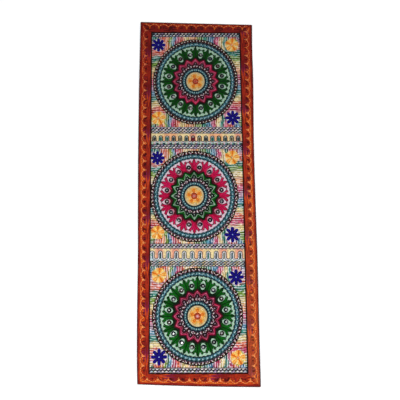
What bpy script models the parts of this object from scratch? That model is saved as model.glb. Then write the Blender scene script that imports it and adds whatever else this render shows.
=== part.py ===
"""Embroidered table runner: one ground cloth, four border strips sewn along its edges, and small
round mirrors held down by the stitching.

The origin lies under the middle of the cloth's box, +Y runs along the cloth, +X across it, +Z up.
Lengths below are millimetres, turned to metres where a mesh is made. The embroidery stands proud
of the cloth as low ridges, one ridge for each band of stitches.
"""
import math

import bmesh
import bpy
from mathutils.geometry import delaunay_2d_cdt

MM = 0.001

# Layers, from the table upwards
CLOTH_THICKNESS = 1.6
BORDER_THICKNESS = 1.3
LAYER_GAP = 0.3
MIRROR_THICKNESS = 0.9
MIRROR_RADIUS = 5.0
CENTRE_MIRROR_RADIUS = 4.0
MIRROR_SIDES = 12

# Heights of the stitching above the cloth
BASE = 0.0
THIN_CORD = 0.5
THICK_CORD = 0.8
SATIN_PAD = 1.0

# The cut edge of the cloth, (x, y) from the upper corner down each long side
LEFT_EDGE = ((-173.7, 550.3), (-175.0, 464.0), (-176.7, 288.0), (-176.9, 100.0), (-175.8, -60.0),
             (-174.6, -180.0), (-175.1, -360.0), (-174.4, -470.0), (-172.6, -540.0))
RIGHT_EDGE = ((176.9, 537.6), (175.4, 460.0), (175.9, 345.0), (173.2, 172.0), (173.6, 0.0),
              (175.6, -208.0), (175.4, -412.0), (176.0, -550.3))
# How far the middle of each short end lies below the line between its corners
TOP_SAG = 0.5
BOTTOM_SAG = 1.4

# Corners of the field inside the border strips
FIELD_TOP_LEFT = (-137.9, 513.5)
FIELD_TOP_RIGHT = (137.2, 510.0)
FIELD_BOTTOM_LEFT = (-139.0, -510.4)
FIELD_BOTTOM_RIGHT = (139.6, -511.6)

# Border strips: waves along each side, and the ridges across a strip as shares of its width
WAVES_LONG = 39
WAVES_SHORT = 11
HEM_SHARE = 0.04
WAVE_OUTER_SHARE = 0.20
WAVE_INNER_SHARE = 0.52
WAVE_FOOT_SHARES = (0.10, 0.60)
SEAM_CORD_SHARE = 0.95
SEAM_FOOT_SHARE = 0.88
WAVE_PHASES = (0.0, 0.2, 0.4, 0.5, 0.6, 0.8)
# How far the hand-drawn waves have drifted along at the middle of each side, as shares of a wave
WAVE_DRIFT = {"left": -0.35, "right": -0.45, "top": 0.0, "bottom": -0.10}
MITRE_GAP = 0.3
MITRE_CLEAR = 0.12

# Medallions: centre of each, and how much taller than wide its circles are drawn
MEDALLIONS = {"upper": (-2.3, 353.7), "middle": (-8.3, -3.7), "lower": (-1.0, -353.8)}
STRETCH = 1.05
LEAVES = 16
MIRROR_RING_RADIUS = 83.0
INNER_SIDES = 24
OUTER_SIDES = 40

# Ring ridges inside and outside the wreath, as (radius, height)
INNER_RINGS = ((28.2, BASE), (30.2, THICK_CORD), (32.4, BASE), (35.0, THICK_CORD), (37.6, BASE),
               (40.0, THIN_CORD), (42.4, BASE), (45.5, THICK_CORD), (48.6, BASE))
OUTER_RINGS = ((107.4, BASE), (109.4, THICK_CORD), (111.6, BASE), (114.4, THICK_CORD), (117.4, BASE),
               (119.6, THIN_CORD), (121.6, BASE), (124.6, THICK_CORD), (127.4, BASE))
SEAT_RADIUS = 6.4
HEART_RADIUS = 9.4
PETAL_RADIUS = 19.0
HEART_PETALS = 8

# The zigzag star, from its tips to its notches
STAR_FOOT = (72.0, 62.0)
STAR_CREST = (67.0, 56.0)

# A leaf of the wreath, as (radius, share of the half step to the next leaf)
LEAF_EDGE = ((106.0, 0.0), (97.5, 0.30), (103.5, 0.60), (94.0, 0.97))
LEAF_RIB = ((76.0, SATIN_PAD), (86.0, SATIN_PAD), (97.0, THIN_CORD))
LEAF_SIDE_CREST = (95.0, 0.52)
# The pale eye between two leaves, as (radius, share of the half step either side of its middle)
EYE_EDGE = ((73.5, 0.0), (77.0, 0.38), (83.5, 0.46), (90.0, 0.30), (97.5, 0.0))

# Corner flowers of the three panels, as (x, y, radius)
BLUE_FLOWERS = ((-117.1, 473.5, 18.6), (110.9, 236.0, 20.0), (-118.5, 112.5, 18.0),
                (103.9, -120.3, 20.0), (112.2, -244.0, 19.5), (-111.6, -466.5, 20.0))
GOLD_FLOWERS = ((112.1, 472.2, 19.5), (-116.6, 237.2, 19.5), (105.9, 112.3, 19.5),
                (-117.9, -112.8, 18.5), (-112.9, -237.0, 20.0), (113.4, -470.3, 19.5))

# Zigzag rows across the field, as (y, half height, rise to the right)
ZIGZAG_ROWS = ((507.0, 3.6, -2.6), (202.0, 3.4, -3.0), (192.6, 2.0, -3.0), (149.0, 3.6, -3.6),
               (-151.2, 3.4, -2.2), (-200.2, 2.4, -2.8), (-206.6, 2.0, -2.8), (-503.6, 3.6, -1.2))
ZIGZAG_TEETH = 26
ROW_END_GAP = 2.0
ROW_FOOT_STEPS = 12

# The upper band's row of round eyes, and the lower band's meander
BAND_EYES = 14
BAND_EYE_PITCH = 19.6
BAND_EYE_CENTRE = (-1.6, 173.2)
BAND_EYE_RADII = (5.6, 3.4)
MEANDER_LOOPS = 11
MEANDER_PITCH = 23.4
MEANDER_CENTRE = (7.4, -179.6)
MEANDER_HALF_HEIGHT = 12.0
MEANDER_WIDTH = 2.2
BAND_RISE = -2.6
FIELD_WIDTH = 276.0


def lerp(a, b, share):
    return (a[0] + (b[0] - a[0]) * share, a[1] + (b[1] - a[1]) * share)


def smooth_path(points, steps):
    """Points spaced evenly by count on a smooth curve through the given ones."""
    last = len(points) - 1
    path = []
    for step in range(steps + 1):
        place = step / steps * last
        i = min(int(place), last - 1)
        u = place - i
        p0, p1, p2, p3 = (points[min(max(i + k, 0), last)] for k in (-1, 0, 1, 2))
        path.append(tuple(
            0.5 * (2 * b + (c - a) * u + (2 * a - 5 * b + 4 * c - d) * u**2 + (3 * b - a - 3 * c + d) * u**3)
            for a, b, c, d in zip(p0, p1, p2, p3)))
    return path


def by_height(points, y_top, y_bottom, steps):
    """The edge through the given points, at steps evenly spaced in y."""
    fine = smooth_path(points, 8 * (len(points) - 1))
    row = []
    for step in range(steps + 1):
        y = y_top + (y_bottom - y_top) * step / steps
        above = max(i for i in range(len(fine) - 1) if fine[i][1] >= y - 1e-6)
        a, b = fine[above], fine[above + 1]
        row.append((a[0] + (b[0] - a[0]) * (a[1] - y) / (a[1] - b[1]), y))
    return row


def end_edge(a, b, sag, steps):
    """A short end of the cloth, its middle lower by sag."""
    row = []
    for step in range(steps + 1):
        share = step / steps
        x, y = lerp(a, b, share)
        row.append((x, y - sag * math.sin(math.pi * share)))
    return row


def cut_edges():
    """The four sides of the cut edge, each from its first corner to the next, going round."""
    top_left, bottom_left = LEFT_EDGE[0], LEFT_EDGE[-1]
    top_right, bottom_right = RIGHT_EDGE[0], RIGHT_EDGE[-1]
    left = by_height(LEFT_EDGE, top_left[1], bottom_left[1], WAVES_LONG)
    right = by_height(RIGHT_EDGE, top_right[1], bottom_right[1], WAVES_LONG)
    return {
        "left": left,
        "bottom": end_edge(bottom_left, bottom_right, BOTTOM_SAG, WAVES_SHORT),
        "right": right[::-1],
        "top": end_edge(top_right, top_left, TOP_SAG, WAVES_SHORT),
    }


class Relief:
    """The upper face of a sheet: an outline and the creases drawn inside it, with their heights."""

    def __init__(self, outline, height):
        self.points = []
        self.heights = []
        self.edges = []
        self.outline = list(outline)
        self.loop(self.outline, height)

    def _add(self, points, heights):
        first = len(self.points)
        self.points.extend(points)
        if isinstance(heights, (int, float)):
            heights = [heights] * len(points)
        self.heights.extend(heights)
        return first, len(self.points)

    def line(self, points, heights):
        first, end = self._add(points, heights)
        self.edges.extend((i, i + 1) for i in range(first, end - 1))

    def loop(self, points, heights):
        first, end = self._add(points, heights)
        self.edges.extend((i, i + 1) for i in range(first, end - 1))
        self.edges.append((end - 1, first))


def sheet_object(name, relief, underside, thickness, finish):
    """A closed sheet: the relief above, the same outline flat below, and a wall between them."""
    flat_top = underside + thickness
    places, _, triangles, origins, _, _ = delaunay_2d_cdt(relief.points, relief.edges, [], 1, 1e-4)
    mesh = bmesh.new()
    upper = []
    found = {}
    for place, origin in zip(places, origins):
        height = max(relief.heights[i] for i in origin) if origin else BASE
        vertex = mesh.verts.new((place.x * MM, place.y * MM, (flat_top + height) * MM))
        upper.append(vertex)
        for i in origin:
            found[i] = vertex
    for triangle in triangles:
        mesh.faces.new([upper[i] for i in triangle])
    count = len(relief.outline)
    lower = [mesh.verts.new((x * MM, y * MM, underside * MM)) for x, y in relief.outline]
    ring = [(i, (i + 1) % count) for i in range(count)]
    for i, j in ring:
        mesh.faces.new((found[i], found[j], lower[j], lower[i]))
    _, _, flat, flat_origins, _, _ = delaunay_2d_cdt(relief.outline, ring, [], 1, 1e-4)
    for triangle in flat:
        mesh.faces.new([lower[flat_origins[i][0]] for i in reversed(triangle)])
    bmesh.ops.recalc_face_normals(mesh, faces=mesh.faces)
    return finished_object(name, mesh, finish)


def finished_object(name, mesh, finish):
    data = bpy.data.meshes.new(name)
    mesh.to_mesh(data)
    mesh.free()
    data.shade_smooth()
    data.set_sharp_from_angle(angle=math.radians(40))
    data.materials.append(finish)
    thing = bpy.data.objects.new(name, data)
    bpy.context.scene.collection.objects.link(thing)
    return thing


def make_finish(name, colour, roughness, metallic=0.0):
    finish = bpy.data.materials.new(name)
    finish.use_nodes = True
    shader = finish.node_tree.nodes["Principled BSDF"]
    shader.inputs["Base Color"].default_value = (*colour, 1.0)
    shader.inputs["Roughness"].default_value = roughness
    shader.inputs["Metallic"].default_value = metallic
    return finish


def polar(centre, radius, angle):
    """A point on a medallion's circle; angle 0 is straight up the cloth, growing clockwise."""
    return (centre[0] + radius * math.sin(angle), centre[1] + STRETCH * radius * math.cos(angle))


def circle(centre, radius, sides):
    return [polar(centre, radius, math.tau * i / sides) for i in range(sides)]


def star(centre, tip, notch, points):
    """A closed zigzag, its tips on the multiples of a full step."""
    return [polar(centre, notch if i % 2 else tip, math.pi * i / points) for i in range(2 * points)]


def draw_heart(relief, centre):
    """The flower at a medallion's heart, round the seat of its mirror."""
    relief.loop(circle(centre, SEAT_RADIUS, MIRROR_SIDES), BASE)
    relief.loop(circle(centre, HEART_RADIUS, 2 * HEART_PETALS), THICK_CORD)
    relief.loop(star(centre, PETAL_RADIUS, PETAL_RADIUS, HEART_PETALS), [SATIN_PAD, THIN_CORD] * HEART_PETALS)


def draw_wreath(relief, centre):
    """Three-tipped leaves that join under the pale eyes between them."""
    half_step = math.pi / LEAVES
    edge = []
    for leaf in range(LEAVES):
        axis = 2 * half_step * leaf
        edge.extend(polar(centre, r, axis - share * half_step) for r, share in LEAF_EDGE[:0:-1])
        edge.extend(polar(centre, r, axis + share * half_step) for r, share in LEAF_EDGE[:-1])
        relief.line([polar(centre, r, axis) for r, _ in LEAF_RIB], [height for _, height in LEAF_RIB])
        for side in (-1, 1):
            r, share = LEAF_SIDE_CREST
            relief.line([polar(centre, r, axis + side * share * half_step)], THIN_CORD)
        middle = axis + half_step
        eye = [polar(centre, r, middle + share * half_step) for r, share in EYE_EDGE]
        eye.extend(polar(centre, r, middle - share * half_step) for r, share in EYE_EDGE[-2:0:-1])
        relief.loop(eye, BASE)
    relief.loop(edge, BASE)


def draw_medallion(relief, centre):
    draw_heart(relief, centre)
    for radius, height in INNER_RINGS:
        relief.loop(circle(centre, radius, INNER_SIDES), height)
    relief.loop(star(centre, *STAR_CREST, LEAVES), THICK_CORD)
    relief.loop(star(centre, *STAR_FOOT, LEAVES), BASE)
    draw_wreath(relief, centre)
    for radius, height in OUTER_RINGS:
        relief.loop(circle(centre, radius, OUTER_SIDES), height)


def draw_flower(relief, x, y, radius, petals, notch_share):
    """A padded flower: a scalloped foot, a ridge up each petal and a heart."""
    foot = []
    crest = []
    for i in range(2 * petals):
        angle = math.pi * i / petals
        reach = radius * (notch_share if i % 2 else 1.0)
        foot.append((x + reach * math.sin(angle), y + reach * math.cos(angle)))
        if i % 2 == 0:
            crest.append((x + 0.62 * radius * math.sin(angle), y + 0.62 * radius * math.cos(angle)))
    relief.loop(foot, BASE)
    relief.loop(crest, SATIN_PAD)
    relief.line([(x, y)], THIN_CORD)


def rise(x, amount):
    """How far a row has climbed at x, when it climbs by amount across the field."""
    return amount * x / FIELD_WIDTH


def field_sides(y):
    share = (FIELD_TOP_LEFT[1] - y) / (FIELD_TOP_LEFT[1] - FIELD_BOTTOM_LEFT[1])
    return lerp(FIELD_TOP_LEFT, FIELD_BOTTOM_LEFT, share)[0], lerp(FIELD_TOP_RIGHT, FIELD_BOTTOM_RIGHT, share)[0]


def draw_zigzag_row(relief, y, half, climb):
    left, right = field_sides(y)
    left += ROW_END_GAP
    right -= ROW_END_GAP
    reach = half + 1.2
    crest = []
    for i in range(2 * ZIGZAG_TEETH + 1):
        x = left + (right - left) * i / (2 * ZIGZAG_TEETH)
        crest.append((x, y + rise(x, climb) + (half if i % 2 else -half) * 0.7))
    relief.line(crest, THICK_CORD)
    for side in (-reach, reach):
        feet = []
        for i in range(ROW_FOOT_STEPS + 1):
            x = left + (right - left) * i / ROW_FOOT_STEPS
            feet.append((x, y + rise(x, climb) + side))
        relief.line(feet, BASE)


def draw_band_eyes(relief):
    """A row of round eyes in raised thread across the upper band."""
    outer, inner = BAND_EYE_RADII
    for i in range(BAND_EYES):
        x = BAND_EYE_CENTRE[0] + (i - (BAND_EYES - 1) / 2) * BAND_EYE_PITCH
        y = BAND_EYE_CENTRE[1] + rise(x, BAND_RISE)
        for radius, height in ((outer, BASE), (inner, THIN_CORD)):
            relief.loop([(x + radius * math.cos(math.tau * k / 8), y + radius * math.sin(math.tau * k / 8))
                         for k in range(8)], height)


def draw_meander(relief):
    """A battlement line of couched cord across the lower band, a ridge between two feet."""
    for side, height in ((0.0, THICK_CORD), (-MEANDER_WIDTH, BASE), (MEANDER_WIDTH, BASE)):
        path = []
        for i in range(MEANDER_LOOPS):
            x = MEANDER_CENTRE[0] + (i - (MEANDER_LOOPS - 1) / 2) * MEANDER_PITCH
            quarter = MEANDER_PITCH / 4
            high = MEANDER_HALF_HEIGHT + side
            low = -MEANDER_HALF_HEIGHT + side
            path.extend(((x - quarter - side, low), (x - quarter - side, high - 4.0), (x - 0.6 * quarter, high),
                         (x + 0.6 * quarter, high), (x + quarter + side, high - 4.0), (x + quarter + side, low)))
        relief.line([(x, MEANDER_CENTRE[1] + y + rise(x, BAND_RISE)) for x, y in path], height)


def ground_cloth(finish):
    outline = [point for side in cut_edges().values() for point in side[:-1]]
    relief = Relief(outline, BASE)
    relief.loop([FIELD_TOP_LEFT, FIELD_BOTTOM_LEFT, FIELD_BOTTOM_RIGHT, FIELD_TOP_RIGHT], BASE)
    for centre in MEDALLIONS.values():
        draw_medallion(relief, centre)
    for x, y, radius in BLUE_FLOWERS:
        draw_flower(relief, x, y, radius, petals=8, notch_share=0.55)
    for x, y, radius in GOLD_FLOWERS:
        draw_flower(relief, x, y, radius, petals=5, notch_share=0.72)
    for y, half, climb in ZIGZAG_ROWS:
        draw_zigzag_row(relief, y, half, climb)
    draw_band_eyes(relief)
    draw_meander(relief)
    sheet_object("ground_cloth", relief, 0.0, CLOTH_THICKNESS, finish)


def across(outer, inner, share):
    """The row of points that lies at a share of the way from the outer edge to the inner one."""
    return [lerp(a, b, share) for a, b in zip(outer, inner)]


def at_place(row, place):
    i = min(int(place), len(row) - 2)
    return lerp(row[i], row[i + 1], place - i)


def wave_line(outer, inner, waves, drift):
    """The scalloped line along a strip: bulging to the edge at its corners, with a cusp in each wave."""
    line = []
    for i in range(waves):
        for phase in WAVE_PHASES:
            place = i + phase
            bulge = abs(math.cos(math.pi * phase)) ** 0.7
            share = WAVE_INNER_SHARE + (WAVE_OUTER_SHARE - WAVE_INNER_SHARE) * bulge
            place -= drift * math.sin(math.pi * place / waves)
            if MITRE_CLEAR < place < waves - MITRE_CLEAR:
                line.append(at_place(across(outer, inner, share), place))
    return line


def border_strip(name, outer, corner_a, corner_b, drift, finish):
    """One side of the border, mitred at both ends, with its hem, scalloped wave and seam cord."""
    waves = len(outer) - 1
    inner = [lerp(corner_a, corner_b, i / waves) for i in range(waves + 1)]
    mitre = waves * MITRE_GAP / math.dist(outer[0], outer[-1])
    places = [mitre] + list(range(1, waves)) + [waves - mitre]

    def row(share, at=places):
        edge = across(outer, inner, share)
        return [at_place(edge, place) for place in at]

    relief = Relief(row(0.0) + row(1.0)[::-1], BASE)
    ends = [MITRE_CLEAR] + list(range(1, waves)) + [waves - MITRE_CLEAR]
    relief.line(row(HEM_SHARE, ends), THIN_CORD)
    relief.line(row(WAVE_FOOT_SHARES[0], ends), BASE)
    relief.line(row(WAVE_FOOT_SHARES[1], ends), BASE)
    relief.line(row(SEAM_FOOT_SHARE, ends[::2]), BASE)
    relief.line(row(SEAM_CORD_SHARE, ends[::2]), THIN_CORD)
    relief.line(wave_line(outer, inner, waves, drift), THICK_CORD)
    sheet_object(name, relief, CLOTH_THICKNESS + LAYER_GAP, BORDER_THICKNESS, finish)


def border_strips(finish):
    edges = cut_edges()
    corners = {
        "left": (FIELD_TOP_LEFT, FIELD_BOTTOM_LEFT),
        "bottom": (FIELD_BOTTOM_LEFT, FIELD_BOTTOM_RIGHT),
        "right": (FIELD_BOTTOM_RIGHT, FIELD_TOP_RIGHT),
        "top": (FIELD_TOP_RIGHT, FIELD_TOP_LEFT),
    }
    for side, (corner_a, corner_b) in corners.items():
        border_strip("border_" + side, edges[side], corner_a, corner_b, WAVE_DRIFT[side], finish)


def mirror(name, place, radius, finish):
    """A small round of mirror glass that lies just above the cloth."""
    mesh = bmesh.new()
    bmesh.ops.create_cone(mesh, cap_ends=True, segments=MIRROR_SIDES, radius1=radius * MM,
                          radius2=radius * MM, depth=MIRROR_THICKNESS * MM)
    thing = finished_object(name, mesh, finish)
    height = CLOTH_THICKNESS + LAYER_GAP + MIRROR_THICKNESS / 2
    thing.location = (place[0] * MM, place[1] * MM, height * MM)


def mirrors(finish):
    for panel, centre in MEDALLIONS.items():
        mirror("heart_mirror_" + panel, centre, CENTRE_MIRROR_RADIUS, finish)
        for i in range(LEAVES):
            angle = math.pi / LEAVES * (2 * i + 1)
            place = polar(centre, MIRROR_RING_RADIUS, angle)
            mirror(f"mirror_{panel}_{i + 1:02d}", place, MIRROR_RADIUS, finish)


def main():
    for old in list(bpy.data.objects):
        bpy.data.objects.remove(old)
    ground_cloth(make_finish("stitched_cotton", (0.55, 0.50, 0.42), roughness=0.9))
    border_strips(make_finish("border_thread", (0.55, 0.10, 0.03), roughness=0.75))
    mirrors(make_finish("mirror_glass", (0.85, 0.87, 0.88), roughness=0.08, metallic=1.0))


main()
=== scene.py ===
"""An embroidered table runner laid out flat: woven cotton under rows of chain stitch, with couched
outlines, satin-stitched flowers and small round mirrors held by rings of thread.

Sizes are millimetres in the frame's axes, turned to metres where a mesh is made. Each stitch is a
small solid of thread, and the stitches of one part of the pattern are one piece.
"""
import math

import bmesh
import bpy
import numpy as np
from mathutils import Matrix, Vector


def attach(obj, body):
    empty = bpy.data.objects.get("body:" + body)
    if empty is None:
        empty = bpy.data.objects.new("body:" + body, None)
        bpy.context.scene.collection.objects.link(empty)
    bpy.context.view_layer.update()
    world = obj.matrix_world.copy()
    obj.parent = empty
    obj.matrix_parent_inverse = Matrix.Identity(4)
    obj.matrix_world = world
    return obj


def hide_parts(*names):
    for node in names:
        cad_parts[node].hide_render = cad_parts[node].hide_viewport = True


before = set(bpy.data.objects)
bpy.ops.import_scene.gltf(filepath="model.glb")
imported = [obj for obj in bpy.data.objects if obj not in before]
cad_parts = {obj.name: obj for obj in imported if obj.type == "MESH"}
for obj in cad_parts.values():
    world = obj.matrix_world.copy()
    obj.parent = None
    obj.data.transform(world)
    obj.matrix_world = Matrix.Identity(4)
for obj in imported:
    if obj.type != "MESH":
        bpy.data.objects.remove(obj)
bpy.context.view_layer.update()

MM = 0.001
RNG = np.random.default_rng(41)

# Layers, from the table upwards
CLOTH_TOP = 1.6
BORDER_UNDER = 1.9
BORDER_TOP = 3.2
MIRROR_UNDER = 1.9
MIRROR_THICKNESS = 0.9

# Stitches: the length of a chain link, the width of a row of them, and the height of a knot
LINK = 4.2
ROW = 2.3
KNOT_HEIGHT = 1.65
# The level of a stitch above what it is sewn to, and a strand's foot and crest from that level
LEVEL = 0.242
FOOT = -0.24
CREST = 0.42
# How much the stitches of a row differ in dye, in heading and in height
DYE_SPREAD = 0.10
HEADING_SPREAD = 0.05
HEIGHT_SPREAD = 0.08
# Heights up the cloth, and how much of its threads' colour is kept there: painted shade, darker towards the
# upper end as the light falls off
PAINTED_SHADE_HEIGHTS = (-400, 0, 350, 550)
PAINTED_SHADE_SHARES = (1.0, 0.92, 0.76, 0.70)

# The cut edge of the cloth, (x, y) from the upper corner down each long side
LEFT_EDGE = ((-173.7, 550.3), (-175.0, 464.0), (-176.7, 288.0), (-176.9, 100.0), (-175.8, -60.0),
             (-174.6, -180.0), (-175.1, -360.0), (-174.4, -470.0), (-172.6, -540.0))
RIGHT_EDGE = ((176.9, 537.6), (175.4, 460.0), (175.9, 345.0), (173.2, 172.0), (173.6, 0.0),
              (175.6, -208.0), (175.4, -412.0), (176.0, -550.3))
TOP_SAG = 0.5
BOTTOM_SAG = 1.4

# Corners of the field inside the border strips
FIELD_TOP_LEFT = (-137.9, 513.5)
FIELD_TOP_RIGHT = (137.2, 510.0)
FIELD_BOTTOM_LEFT = (-139.0, -510.4)
FIELD_BOTTOM_RIGHT = (139.6, -511.6)
FIELD_WIDTH = 276.0

# The border's scalloped line: how many scallops a strip has, how far in the line lies where they bulge
# and between them, and how many scallops it is out of step by halfway along
WAVES = {"left": 39, "right": 39, "top": 11, "bottom": 11}
WAVE_OUTER_SHARE = {"left": 0.27, "right": 0.27, "top": 0.18, "bottom": 0.27}
WAVE_INNER_SHARE = {"left": 0.60, "right": 0.60, "top": 0.50, "bottom": 0.60}
WAVE_DRIFT = {"left": -0.35, "right": 0.45, "top": 0.0, "bottom": -0.10}
# The power that rounds each scallop: the lower it is, the fuller the scallop
WAVE_FULLNESS = 0.55
# The strips: rows of thread in one, its width, which sides are long, and how long each cut side is
BORDER_ROWS = 16
BORDER_WIDTH = 37.0
LONG_SIDES = ("left", "right")
SIDE_LENGTHS = {"left": 1090.0, "right": 1088.0, "top": 351.0, "bottom": 349.0}

# Medallions
MEDALLIONS = {"upper": (-2.3, 353.7), "middle": (-8.3, -3.7), "lower": (-1.0, -353.8)}
STRETCH = 1.05
LEAVES = 16
HALF_STEP = math.pi / LEAVES
MIRROR_RING_RADIUS = 83.4
MIRROR_RADIUS = 5.0
HEART_MIRROR_RADIUS = 4.0
MEDALLION_RADIUS = 130.2

# The wreath in a medallion: radius against share of the half step from a leaf's middle to an eye's
LEAF_OUTER_SHARES = (0.0, 0.10, 0.18, 0.31, 0.45, 0.60, 0.72, 0.86, 1.0)
LEAF_OUTER_RADII = (108.4, 105.6, 101.6, 95.4, 97.6, 102.4, 102.0, 99.0, 98.4)
EYE_RADII = (71.2, 72.6, 74.8, 78.4, 84.0, 88.0, 92.0, 96.0, 99.4)
EYE_SHARES = (0.0, 0.25, 0.38, 0.46, 0.50, 0.47, 0.37, 0.21, 0.0)
STAR_TIP = 74.6
STAR_NOTCH = 64.0

# Panels between the bands, as (upper edge, lower edge) at the middle of the cloth
PANELS = {"upper": (499.0, 208.4), "middle": (139.0, -145.6), "lower": (-212.6, -496.4)}
BLUE_FLOWERS = {"upper": ((-117.1, 473.5, 18.6), (110.9, 236.0, 20.0)),
                "middle": ((-118.5, 112.5, 18.0), (103.9, -120.3, 20.0)),
                "lower": ((112.2, -244.0, 19.5), (-111.6, -466.5, 20.0))}
GOLD_FLOWERS = {"upper": ((112.1, 472.2, 19.5), (-116.6, 237.2, 19.5)),
                "middle": ((105.9, 112.3, 19.5), (-117.9, -112.8, 18.5)),
                "lower": ((-112.9, -237.0, 20.0), (113.4, -470.3, 19.5))}

# Zigzag rows, as (y, half height, rise to the right)
ZIGZAGS = ((506.4, 5.8, -3.0), (201.4, 5.2, -3.2), (192.0, 3.0, -3.2), (146.4, 4.6, -3.6),
           (-153.0, 5.2, -2.6), (-199.9, 2.8, -3.0), (-207.2, 3.4, -3.0), (-503.6, 5.8, -1.4))
ZIGZAG_TEETH = 26

# The two bands between panels
EYE_BAND = {"top": 187.8, "bottom": 163.4, "middle": 174.2, "scallops": 152.4, "pitch": 19.6,
            "first": -128.6, "count": 14}
MEANDER_BAND = {"top": -159.2, "bottom": -196.6, "line_top": -167.6, "line_bottom": -190.6,
                "pitch": 23.45, "first": -132.6, "count": 12, "corner": 5.0}
BAND_RISE = -3.0
# How far in from the edges of a ground its first row lies, and its last one at least
FIRST_ROW = 1.4
LAST_ROW = 1.0

# Threads, by what a stitcher would call them
THREADS = {
    "ink": "#101218", "night": "#171A2E", "umber": "#2C1512", "bark": "#240A07", "maroon": "#4C0A0B",
    "garnet": "#861E18", "brick": "#AA3018", "vermilion": "#CC4A16", "marigold": "#DE6A22",
    "apricot": "#F09C5C", "plum": "#842040", "teal": "#43737B", "deep_teal": "#17393F", "ice": "#B4D0D6",
    "sky": "#6AA0BC", "bead_white": "#FBF4EE", "mint": "#AFD0B8", "blush": "#E6C8D5", "leaf": "#044C08",
    "moss": "#021D05", "fern": "#0B6A16", "crimson": "#C00C44", "cherry": "#8C1230", "rosebud": "#C4345E",
    "magenta": "#CC1C5A", "wine": "#520719", "yellow": "#F8D070", "gold": "#F8BC5C", "orange": "#E8781C",
    "cream": "#F2E0AC", "sand": "#F0D8A4", "peach": "#F2B88A", "shell": "#EBA88E", "salmon": "#E4826C",
    "rose": "#D8688A", "lime": "#8FAE58", "sea": "#4E9A8C", "lavender": "#B3A6CC", "violet": "#3A2B60",
    "ultramarine": "#150A86", "indigo": "#0C0550", "pearl": "#EFEDF2", "slate": "#4C5862",
    "lilac": "#C6A4B8", "khaki": "#A39C80", "dove": "#8F8A9A", "amber": "#F4A24A",
}
# In each turn of a run of threads: the share that starts unmixed, and then the share that changes over
THREAD_KEEPS = 0.3
THREAD_CHANGES = 0.4


def linear(value):
    """One sRGB channel, 0 to 1, as linear light."""
    return value / 12.92 if value <= 0.04045 else ((value + 0.055) / 1.055) ** 2.4


def hex_colour(code):
    return np.array([linear(int(code[i:i + 2], 16) / 255) for i in (1, 3, 5)])


COLOURS = {name: hex_colour(code) for name, code in THREADS.items()}


def blend_threads(names, place):
    """Colours read off a run of threads; place counts threads, and goes round after the last."""
    run = np.array([COLOURS[name] for name in names])
    place = np.mod(np.asarray(place, float), len(names))
    low = place.astype(int)
    part = np.clip(((place - low)[:, None] - THREAD_KEEPS) / THREAD_CHANGES, 0, 1)
    return run[low % len(names)] * (1 - part) + run[(low + 1) % len(names)] * part


def thread_turns(names, count):
    """The colours of count stitches that take the threads in turn."""
    return np.array([COLOURS[names[i % len(names)]] for i in range(count)])


# Shapes of single stitches

def start_shape():
    bpy.ops.object.select_all(action="DESELECT")


def edit_all():
    bpy.ops.object.mode_set(mode="EDIT")
    bpy.ops.mesh.select_all(action="SELECT")


def shape_arrays():
    """The points and triangles of the shape just modelled, which is then removed."""
    bpy.ops.mesh.quads_convert_to_tris()
    bpy.ops.mesh.normals_make_consistent(inside=False)
    bpy.ops.object.mode_set(mode="OBJECT")
    thing = bpy.context.object
    points = np.array([v.co[:] for v in thing.data.vertices])
    triangles = np.array([p.vertices[:] for p in thing.data.polygons])
    bpy.data.objects.remove(thing)
    return points / MM, triangles


def add_thread_ridge(length, width):
    """A low solid of six faces, sizes in mm: its foot is just above the cloth, its crest in its middle."""
    start_shape()
    bpy.ops.mesh.primitive_cone_add(vertices=4, radius1=math.sqrt(0.5) * MM, radius2=0, depth=MM,
                                    end_fill_type="NGON", rotation=(0, 0, math.pi / 4))
    bpy.ops.object.transform_apply(location=False, rotation=True, scale=False)
    edit_all()
    bpy.ops.transform.resize(value=(length, width, CREST - FOOT))
    bpy.ops.transform.translate(value=(0, 0, (CREST + FOOT) / 2 * MM))


# The two strands of a chain link: length and width, the share of their width that they start with, their
# turn, and how far each lies from the link's middle
LINK_STRAND = (LINK * 1.36, 1.8)
LINK_STRAND_START = 0.6
LINK_STRAND_TURN = math.radians(8)
LINK_STRAND_OFFSET = 0.24 * ROW
# The width of a strand on its own
STRAND_WIDTH = ROW * 0.74


def model_chain_link():
    """One link of chain stitch: two strands at a slant to each other, each narrower at its start."""
    add_thread_ridge(*LINK_STRAND)
    shape = bmesh.from_edit_mesh(bpy.context.object.data)
    for point in shape.verts:
        point.select = point.co.x < -MM
    shape.select_flush_mode()
    bpy.ops.transform.resize(value=(1, LINK_STRAND_START, 1), center_override=(0, 0, 0))
    bpy.ops.mesh.select_all(action="SELECT")
    bpy.ops.transform.rotate(value=LINK_STRAND_TURN, orient_axis="Z", center_override=(0, 0, 0))
    bpy.ops.transform.translate(value=(0, LINK_STRAND_OFFSET * MM, 0))
    bpy.ops.mesh.duplicate()
    bpy.ops.transform.resize(value=(1, -1, 1), center_override=(0, 0, 0))
    bpy.ops.mesh.select_all(action="SELECT")
    return shape_arrays()


def model_strand():
    """A single straight stitch, fullest in its middle."""
    add_thread_ridge(LINK, STRAND_WIDTH)
    return shape_arrays()


def model_knot():
    """A round knot of thread, flattened a little."""
    start_shape()
    bpy.ops.mesh.primitive_ico_sphere_add(subdivisions=1, radius=0.5 * MM)
    edit_all()
    bpy.ops.transform.resize(value=(LINK, ROW, KNOT_HEIGHT))
    return shape_arrays()


SHAPES = {"link": model_chain_link(), "strand": model_strand(), "knot": model_knot()}


# Gathering stitches and laying them

def as_path(points, closed):
    """The points as an array, with the first again at the end where the path is closed."""
    points = np.asarray(points, float)
    return np.vstack([points, points[:1]]) if closed else points


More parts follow.
